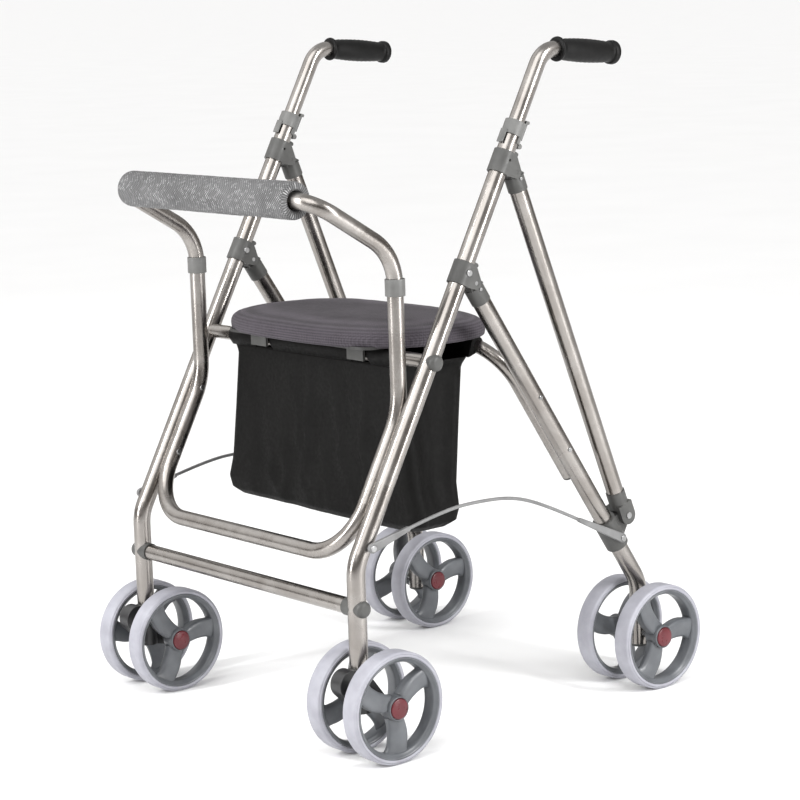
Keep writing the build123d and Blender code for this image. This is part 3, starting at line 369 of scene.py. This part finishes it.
HUB_CAP = [
    (0.0112, 0.0010), (0.0112, 0.0137), (0.0134, 0.0138), (0.0143, 0.0131), (0.0147, 0.0119),
    (0.0146, 0.0112), (0.0149, 0.0104), (0.0153, 0.0060), (0.0154, 0.0010),
]


BLADE_INNER, BLADE_OUTER = 0.0130, 0.0630


def blade(centre, outward, turn):
    """One broad twisted blade from the hub to the rim, wider and flatter outside."""
    verts = []
    steps, corners = 18, 20
    for k in range(steps + 1):
        t = k / steps
        r = BLADE_INNER + (BLADE_OUTER - BLADE_INNER) * t
        flare = max(0.0, (t - 0.72) / 0.28) ** 2
        root = max(0.0, (0.22 - t) / 0.22) ** 2
        lead = 0.0118 + 0.0050 * sin(pi * min(1.0, t * 1.02)) + 0.0018 * t + 0.0030 * flare
        trail = -(0.0118 + 0.0030 * t - 0.0034 * sin(pi * t)) - 0.0080 * flare - 0.0010 * root
        for c in range(corners):
            angle = 2 * pi * c / corners
            across = abs(cos(angle)) ** 0.5 * (1 if cos(angle) > 0 else -1)
            thick = abs(sin(angle)) ** 0.45 * (1 if sin(angle) > 0 else -1)
            side = (lead + trail) / 2 + (lead - trail) / 2 * across
            slope = 0.0032 * (0.35 + 0.65 * t) * across
            ridge = 0.0010 * max(0.0, 1 - abs(across - 0.55) / 0.25) * (1 - flare)
            axial = (0.0076 - 0.0010 * t) * thick + (slope + ridge) * (1 if thick > 0 else -0.4)
            y = r * cos(turn) - side * sin(turn)
            z = r * sin(turn) + side * cos(turn)
            verts.append(Vector((centre[0] + outward * axial, centre[1] + y, centre[2] + z)))
    return verts, bands(steps + 1, corners) + lids(steps + 1, corners)


WHEELS = {
    "front_left_outer": (1, 1, FRONT_AXLE_Y, 30), "front_left_inner": (1, -1, FRONT_AXLE_Y, 75),
    "front_right_outer": (-1, -1, FRONT_AXLE_Y, 50), "front_right_inner": (-1, 1, FRONT_AXLE_Y, 5),
    "rear_left_outer": (1, 1, REAR_AXLE_Y, 0), "rear_left_inner": (1, -1, REAR_AXLE_Y, 40),
    "rear_right_outer": (-1, -1, REAR_AXLE_Y, 80), "rear_right_inner": (-1, 1, REAR_AXLE_Y, 10),
}
for name, (sign, outward, y, turn) in WHEELS.items():
    centre = Vector((sign * HALF_TRACK + outward * WHEEL_OFFSET, y, AXLE_Z))
    along = (outward, 0, 0)
    body = f"wheel_{name}"
    shell = lathe(wheel_profile(TYRE_SIDE), 96, centre, along, (0, 1, 0))
    piece(f"soft_tyre_{name}", *shell, TYRE, body, "tyre", (f"tyre_{name}",))
    blades = [blade(centre, outward, radians(turn + 120 * k)) for k in range(3)]
    ring = lathe(wheel_profile(RIM_SIDE), 96, centre, along, (0, 1, 0))
    hub = lathe(HUB, 64, centre, along, (0, 1, 0))
    cap = lathe(HUB_CAP, 64, centre, along, (0, 1, 0), closed=False)
    verts, faces, owner = joined(ring, hub, *blades, cap)
    last = len(blades) + 2
    piece(
        f"spoked_rim_{name}", verts, faces, RIM, body, "rim", (f"rim_{name}",),
        more=(CAP,), face_material=[1 if number == last else 0 for number in owner],
    )

# ---------------------------------------------------------------- grips
RIBS = 24
GRIP_HALF = [
    (0.0238, 0.0112), (0.0238, 0.0158), (0.0244, 0.0166), (0.0262, 0.0170), (0.0280, 0.0166),
    (0.0286, 0.0158), (0.0290, 0.0146), (0.0296, 0.0138),
]
for k in range(1, RIBS):
    t = k / RIBS
    swell = 0.0138 + 0.0023 * sin(pi * t) ** 0.8
    GRIP_HALF += [(0.0300 + 0.0924 * t, swell + (0.00018 if k % 2 else -0.00018))]
GRIP_HALF += [
    (0.1228, 0.0138), (0.1236, 0.0144), (0.1242, 0.0158), (0.1250, 0.0163), (0.1300, 0.0166),
    (0.1324, 0.0160), (0.1343, 0.0142), (0.1351, 0.0112), (0.1352, 0.0070), (0.1352, 0.0006),
]
for side, sign in SIDES:
    along = Vector((0, cos(GRIP_TILT), -sin(GRIP_TILT)))
    shell = lathe(GRIP_HALF, 64, (sign * HALF_TRACK, *GRIP_CORNER), along, (1, 0, 0), closed=False)
    piece(f"ribbed_grip_{side}", *shell, GRIP, f"handle_{side}", "grip", (f"grip_{side}",))

# ---------------------------------------------------------------- backrest roll
ROLL_END = [
    (0.1760, 0.0113), (0.1762, 0.0132), (0.1868, 0.0134), (0.1880, 0.0142), (0.1884, 0.0165),
    (0.1884, 0.0205), (0.1876, 0.0228), (0.1858, 0.0241), (0.1834, 0.0246),
]
ROLL_ROWS = 24
last_axial, last_radial = ROLL_END[-1]
roll_steps = [
    (last_axial * (1 - k / ROLL_ROWS), last_radial + (0.0002 if k % 2 else 0.0)) for k in range(1, ROLL_ROWS)
]
roll_half = ROLL_END + roll_steps
roll_profile = [(-a, r) for a, r in roll_half] + [(0.0, 0.0247)] + [(a, r) for a, r in reversed(roll_half)]


def soft_roll(axial, angle):
    where = Vector((axial * 14, cos(angle) * 0.8, sin(angle) * 0.8))
    return 0.0005 * noise.noise(where) - 0.0006 * max(0.0, 1 - abs(angle - 4.4) / 0.05)


roll = piece(
    "roll_cover", *lathe(roll_profile, 128, (0, ROLL_Y, ROLL_Z), (1, 0, 0), (0, 1, 0), wobble=soft_roll),
    ROLL, "front_frame", "roll", ("backrest_roll",),
)

# ---------------------------------------------------------------- seat cushion
SEAT_Y, SEAT_A, SEAT_B, SEAT_POWER = -0.057, 0.206, 0.128, 2.7
SEAT_RINGS = [
    (0.060, 0.5268), (0.030, 0.5268), (0.014, 0.5268), (0.0070, 0.5260), (0.0038, 0.5246), (0.0018, 0.5243),
    (0.0006, 0.5254), (0.0001, 0.5272), (-0.0004, 0.5300), (-0.0006, 0.5330), (-0.0003, 0.5360), (0.0005, 0.5388),
    (0.0018, 0.5413), (0.0038, 0.5435), (0.0066, 0.5454), (0.0104, 0.5470), (0.0156, 0.5485), (0.0226, 0.5499),
    (0.0320, 0.5511), (0.0440, 0.5521), (0.0580, 0.5529), (0.0760, 0.5536),
]


SEAT_UNDER, SEAT_CROWN, SEAT_TOP_FROM = 0.5268, 0.5540, 0.54


def seat_ring(shrink, z, steps=144):
    """A rounded-oblong ring of the cushion, inset by shrink, with a soft top."""
    points = []
    for step in range(steps):
        angle = 2 * pi * step / steps
        across = abs(cos(angle)) ** (2 / SEAT_POWER) * (1 if cos(angle) > 0 else -1)
        deep = abs(sin(angle)) ** (2 / SEAT_POWER) * (1 if sin(angle) > 0 else -1)
        x, y = (SEAT_A - shrink) * across, (SEAT_B - shrink) * deep
        lift = 0.0010 * noise.noise(Vector((x * 12, y * 12, 3.1)))
        lift += 0.0004 * noise.noise(Vector((x * 45, y * 45, 8.0)))
        points.append(Vector((x, SEAT_Y + y, z + (lift if z > SEAT_TOP_FROM else 0.0))))
    return points


seat_rings = [seat_ring(*ring) for ring in SEAT_RINGS]
steps = len(seat_rings[0])
seat_verts = [point for ring in seat_rings for point in ring]
seat_faces = bands(len(seat_rings), steps)
for row, z in ((0, SEAT_UNDER), (len(seat_rings) - 1, SEAT_CROWN)):
    base = row * steps
    ring = seat_rings[row]
    count = 8
    last = base
    for k in range(1, count):
        left = 1 - k / count
        shrunk = [
            Vector((p.x * left, SEAT_Y + (p.y - SEAT_Y) * left, p.z + (z - p.z) * k / count)) for p in ring
        ]
        start = len(seat_verts)
        seat_verts += shrunk
        for step in range(steps):
            beside = (step + 1) % steps
            seat_faces.append((last + step, last + beside, start + beside, start + step))
        last = start
    seat_verts.append(Vector((0, SEAT_Y, z)))
    centre = len(seat_verts) - 1
    for step in range(steps):
        seat_faces.append((last + step, last + (step + 1) % steps, centre))
cushion = piece("seat_cushion", seat_verts, seat_faces, SEAT, "seat", "seat", ("seat_pad",))

# ---------------------------------------------------------------- bag
BAG_SECTIONS = (
    (0.275, 0.203, -0.126, -0.066), (0.283, 0.216, -0.134, -0.058), (0.300, 0.2185, -0.137, -0.054),
    (0.333, 0.207, -0.137, -0.048), (0.410, 0.1950, -0.1365, -0.031), (0.487, 0.184, -0.136, -0.014),
    (0.500, 0.192, -0.135, -0.010),
)


def bag_at(z):
    """Half width, front and rear of the bag at a height."""
    for low, high in zip(BAG_SECTIONS, BAG_SECTIONS[1:]):
        if z <= high[0]:
            t = (z - low[0]) / (high[0] - low[0])
            return [a + (b - a) * t for a, b in zip(low[1:], high[1:])]
    return list(BAG_SECTIONS[-1][1:])


def bag_fold(x, v, seed):
    """Depth of the soft upright folds, none at the hems."""
    swing = noise.noise(Vector((x * 13, v * 1.1, seed)))
    swing += 0.5 * noise.noise(Vector((x * 34, v * 2.0, seed + 4)))
    pull = noise.noise(Vector((x * 9 + v * 2.2, v * 5.0, seed + 9)))
    return (0.0125 * swing + 0.0052 * pull) * sin(pi * min(1.0, v * 0.92 + 0.06)) ** 0.7


def bag_loop(z, v, shrink=0.0):
    """One level loop of the bag; v runs from 0 at the bottom to 1 at the hems."""
    half, front, rear = bag_at(z)
    half, front, rear = half - shrink, front + shrink, rear - shrink
    radius = min(0.016, (rear - front) / 2 - 0.0005)
    points = []
    long_steps, short_steps, corner_steps = 72, 22, 6
    runs = (
        ((-half + radius, front), (half - radius, front), long_steps, 1),
        ((half, front + radius), (half, rear - radius), short_steps, 2),
        ((half - radius, rear), (-half + radius, rear), long_steps, 3),
        ((-half, rear - radius), (-half, front + radius), short_steps, 4),
    )
    corners = (((half - radius, front + radius), -90), ((half - radius, rear - radius), 0),
               ((-half + radius, rear - radius), 90), ((-half + radius, front + radius), 180))
    for (start, end, count, face), (corner, begin) in zip(runs, corners):
        for k in range(count + 1):
            t = k / count
            x, y = start[0] + (end[0] - start[0]) * t, start[1] + (end[1] - start[1]) * t
            ease = min(1.0, 5 * t, 5 * (1 - t))
            fold = bag_fold(x if face in (1, 3) else y, v, face * 2.7) * ease if shrink == 0.0 else 0.0
            if face == 1:
                y += abs(fold) * 0.9
            elif face == 3:
                y -= abs(fold)
            elif face == 2:
                x -= 0.4 * abs(fold) + 0.012 * sin(pi * t) * (1 - v) ** 0.5 * v * 2
            else:
                x += 0.4 * abs(fold) + 0.012 * sin(pi * t) * (1 - v) ** 0.5 * v * 2
            points.append(Vector((x, y, z)))
        for k in range(1, corner_steps):
            angle = radians(begin + 90 * k / corner_steps)
            points.append(Vector((corner[0] + radius * cos(angle), corner[1] + radius * sin(angle), z)))
    return points


def bag_level(k, count):
    """Height of a row, closer together near the bottom."""
    return BAG_SECTIONS[0][0] + (BAG_SECTIONS[-1][0] - BAG_SECTIONS[0][0]) * (k / count) ** 1.15


BAG_ROWS, CLOTH = 52, 0.0008
loops = [bag_loop(BAG_SECTIONS[0][0], 0.0, 0.0285 * (1 - k / 6)) for k in range(6)]
loops += [bag_loop(bag_level(k, BAG_ROWS), k / BAG_ROWS) for k in range(BAG_ROWS + 1)]
for loop in loops:
    for point in loop:
        droop = 0.0030 * noise.noise(Vector((point.x * 8, point.y * 8, 5.5)))
        low = max(0.0, 1 - (point.z - BAG_SECTIONS[0][0]) / 0.05)
        point.z += low * (droop + 0.004 * (abs(point.x) / 0.21) ** 2 - 0.002)
around = len(loops[0])
bag_verts = [point for loop in loops for point in loop]
bag = piece("bag_cloth", bag_verts, bands(len(loops), around), BAG, None, "bag", ("bag",))
work = bmesh.new()
work.from_mesh(bag.data)
work.verts.ensure_lookup_table()
rim_edges = [e for e in work.edges if e.is_boundary and max(v.co.z for v in e.verts) < 0.30]
bmesh.ops.triangle_fill(work, edges=rim_edges, use_beauty=True)
bmesh.ops.recalc_face_normals(work, faces=work.faces)
bmesh.ops.solidify(work, geom=list(work.faces), thickness=CLOTH)
work.to_mesh(bag.data)
work.free()
bag.data.polygons.foreach_set("use_smooth", [True] * len(bag.data.polygons))
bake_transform(bag)


def hull(name, outline, x_low, x_high, material, body, bevel=0.0006):
    """A convex outline in the side view, given thickness along X and soft edges."""
    work = bmesh.new()
    for x in (x_low, x_high):
        for y, z in outline:
            work.verts.new((x, y, z))
    bmesh.ops.convex_hull(work, input=list(work.verts))
    loose = [v for v in work.verts if not v.link_faces]
    bmesh.ops.delete(work, geom=loose, context="VERTS")
    bmesh.ops.dissolve_limit(work, angle_limit=radians(1), verts=list(work.verts), edges=list(work.edges))
    sharp = [e for e in work.edges if len(e.link_faces) == 2 and e.calc_face_angle() > radians(60)]
    bmesh.ops.bevel(
        work, geom=sharp, offset=bevel, segments=3, profile=0.5, affect="EDGES", clamp_overlap=True,
    )
    bmesh.ops.triangulate(work, faces=[f for f in work.faces if len(f.verts) > 4])
    mesh = bpy.data.meshes.new(name)
    work.to_mesh(mesh)
    work.free()
    mesh.materials.append(material)
    obj = bpy.data.objects.new(name, mesh)
    SCENE.collection.objects.link(obj)
    for face in mesh.polygons:
        face.use_smooth = abs(face.normal.x) < 0.9
    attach(obj, body)
    return obj


HEM_RUNS = ((-0.186, -0.129), (-0.089, 0.089), (0.129, 0.186))
for end, bar, radius, tail, body in (
    ("front", UPPER_BAR, 0.0112, (-0.1352, 0.4975), "front_frame"),
    ("rear", REAR_BAR, 0.0107, (-0.0100, 0.4975), "rear_frame"),
):
    outline = circle(bar, radius, 40)
    outline += [(tail[0] - 0.0012, tail[1]), (tail[0] + 0.0012, tail[1])]
    for number, (x_low, x_high) in enumerate(HEM_RUNS):
        hull(f"bag_hem_{end}_{number}", outline, x_low, x_high, BAG, body)


# ---------------------------------------------------------------- tie cables
def spline_points(points):
    """Points along the smooth NURBS line through a route's control points."""
    curve = bpy.data.curves.new("route", "CURVE")
    curve.dimensions = "3D"
    curve.resolution_u = 12
    line = curve.splines.new("NURBS")
    line.points.add(len(points) - 1)
    for point, place in zip(line.points, points):
        point.co = (*place, 1.0)
    line.order_u = 3
    line.use_endpoint_u = True
    holder = bpy.data.objects.new("route", curve)
    SCENE.collection.objects.link(holder)
    mesh = bpy.data.meshes.new_from_object(holder.evaluated_get(bpy.context.evaluated_depsgraph_get()))
    path = [v.co.copy() for v in mesh.vertices]
    bpy.data.objects.remove(holder)
    bpy.data.meshes.remove(mesh)
    return path


EYE_R, NOSE_R, NOSE_REACH, SLEEVE_HALF = 0.0065, 0.0032, 0.004, 0.0029
for side, sign in SIDES:
    path = spline_points([(sign * TIE_X, y, z) for y, z in TIE_ROUTE])
    verts = []
    corners = 16
    for before, here, after in zip([path[0], *path], path, [*path[1:], path[-1]]):
        run = (after - before).normalized()
        lift = Vector((1, 0, 0)).cross(run)
        for c in range(corners):
            angle = 2 * pi * c / corners
            verts.append(here + (Vector((1, 0, 0)) * cos(angle) + lift * sin(angle)) * TIE_R)
    faces = bands(len(path), corners) + lids(len(path), corners)
    cable = piece(f"tie_cable_{side}", verts, faces, CABLE, None, "cable", ("tie_cables",))
    for end, eye, tip, beyond, body in (
        ("front", TIE_FRONT_EYE, TIE_ROUTE[0], TIE_ROUTE[1], "front_frame"),
        ("rear", TIE_REAR_EYE, TIE_ROUTE[-1], TIE_ROUTE[-2], "rear_frame"),
    ):
        reach = hypot(beyond[0] - tip[0], beyond[1] - tip[1])
        nose = [t + NOSE_REACH * (b - t) / reach for t, b in zip(tip, beyond)]
        outline = circle(eye, EYE_R, 32) + circle(nose, NOSE_R, 32)
        low, high = sorted((sign * (TIE_X - SLEEVE_HALF), sign * (TIE_X + SLEEVE_HALF)))
        hull(f"tie_sleeve_{end}_{side}", outline, low, high, CABLE, body, 0.0012)
    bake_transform(cable)

# ---------------------------------------------------------------- stage, light and camera
floor = Shader("floor_paint", Roughness=0.85)
floor_tone = floor.mix(floor.spread(floor.noise(2.0), 0.0, 1.0), (0.86, 0.86, 0.86), (0.88, 0.88, 0.88))
floor_material = floor.done(floor_tone)
mesh = bpy.data.meshes.new("floor")
FLOOR = 400.0
floor_corners = [(-FLOOR, -FLOOR, 0), (FLOOR, -FLOOR, 0), (FLOOR, FLOOR, 0), (-FLOOR, FLOOR, 0)]
mesh.from_pydata(floor_corners, [], [(0, 1, 2, 3)])
mesh.materials.append(floor_material)
floor_plane = bpy.data.objects.new("floor", mesh)
SCENE.collection.objects.link(floor_plane)

world = bpy.data.worlds.new("studio")
SCENE.world = world
world.use_nodes = True
tree = world.node_tree
direction = tree.nodes.new("ShaderNodeTexCoord").outputs["Generated"]
split = tree.nodes.new("ShaderNodeSeparateXYZ")
tree.links.new(direction, split.inputs[0])
ramp = tree.nodes.new("ShaderNodeValToRGB")
tree.links.new(split.outputs["Z"], ramp.inputs["Fac"])
stops = ramp.color_ramp.elements
stops[0].position, stops[0].color = 0.0, (0.24, 0.205, 0.18, 1)
stops[1].position, stops[1].color = 1.0, (1.0, 1.0, 1.0, 1)
SKY = ((0.16, (0.20, 0.17, 0.15, 1)), (0.36, (0.62, 0.60, 0.58, 1)), (0.62, (1.0, 1.0, 1.0, 1)))
for position, colour in SKY:
    stop = stops.new(position)
    stop.color = colour
tree.links.new(ramp.outputs["Color"], tree.nodes["Background"].inputs["Color"])
tree.nodes["Background"].inputs["Strength"].default_value = 0.7


def lamp(name, kind, energy, at, towards, size=1.0):
    data = bpy.data.lights.new(name, kind)
    data.energy = energy
    if kind == "SUN":
        data.angle = size
    else:
        data.shape = "RECTANGLE"
        data.size, data.size_y = size
    obj = bpy.data.objects.new(name, data)
    SCENE.collection.objects.link(obj)
    obj.location = at
    obj.rotation_euler = (Vector(towards) - Vector(at)).to_track_quat("-Z", "Y").to_euler()
    return obj


lamp("key", "SUN", 1.65, (1.5, -3.0, 4.5), (0, 0, 0.4), radians(50))
lamp("fill", "SUN", 0.62, (-3.5, -1.5, 3.0), (0, 0, 0.4), radians(60))
STRIP_POWER, STRIP_SIZE = 60.0, (0.14, 2.2)
lamp("strip", "AREA", STRIP_POWER, (2.1, 0.6, 1.3), (0, 0, 0.5), STRIP_SIZE)
lamp("strip_left", "AREA", STRIP_POWER, (-0.5, -2.5, 1.4), (0, 0, 0.5), STRIP_SIZE)

CAMERA_AT = Vector((2.7102, -2.2149, 1.0060))
YAW, PITCH, ROLL_ANGLE = radians(50.498), radians(9.562), radians(-1.873)
ahead = Vector((-sin(YAW) * cos(PITCH), cos(YAW) * cos(PITCH), -sin(PITCH)))
right = Vector((cos(YAW), sin(YAW), 0))
up = right.cross(ahead)
right_rolled = right * cos(ROLL_ANGLE) + up * sin(ROLL_ANGLE)
up_rolled = up * cos(ROLL_ANGLE) - right * sin(ROLL_ANGLE)
camera_data = bpy.data.cameras.new("camera")
camera_data.sensor_width = 36.0
camera_data.lens = 111.9
camera_data.clip_end = 2000.0
camera = bpy.data.objects.new("camera", camera_data)
SCENE.collection.objects.link(camera)
axes = Matrix((right_rolled, up_rolled, -ahead)).transposed().to_4x4()
camera.matrix_world = Matrix.Translation(CAMERA_AT) @ axes
SCENE.camera = camera
SCENE.view_settings.view_transform = "Standard"
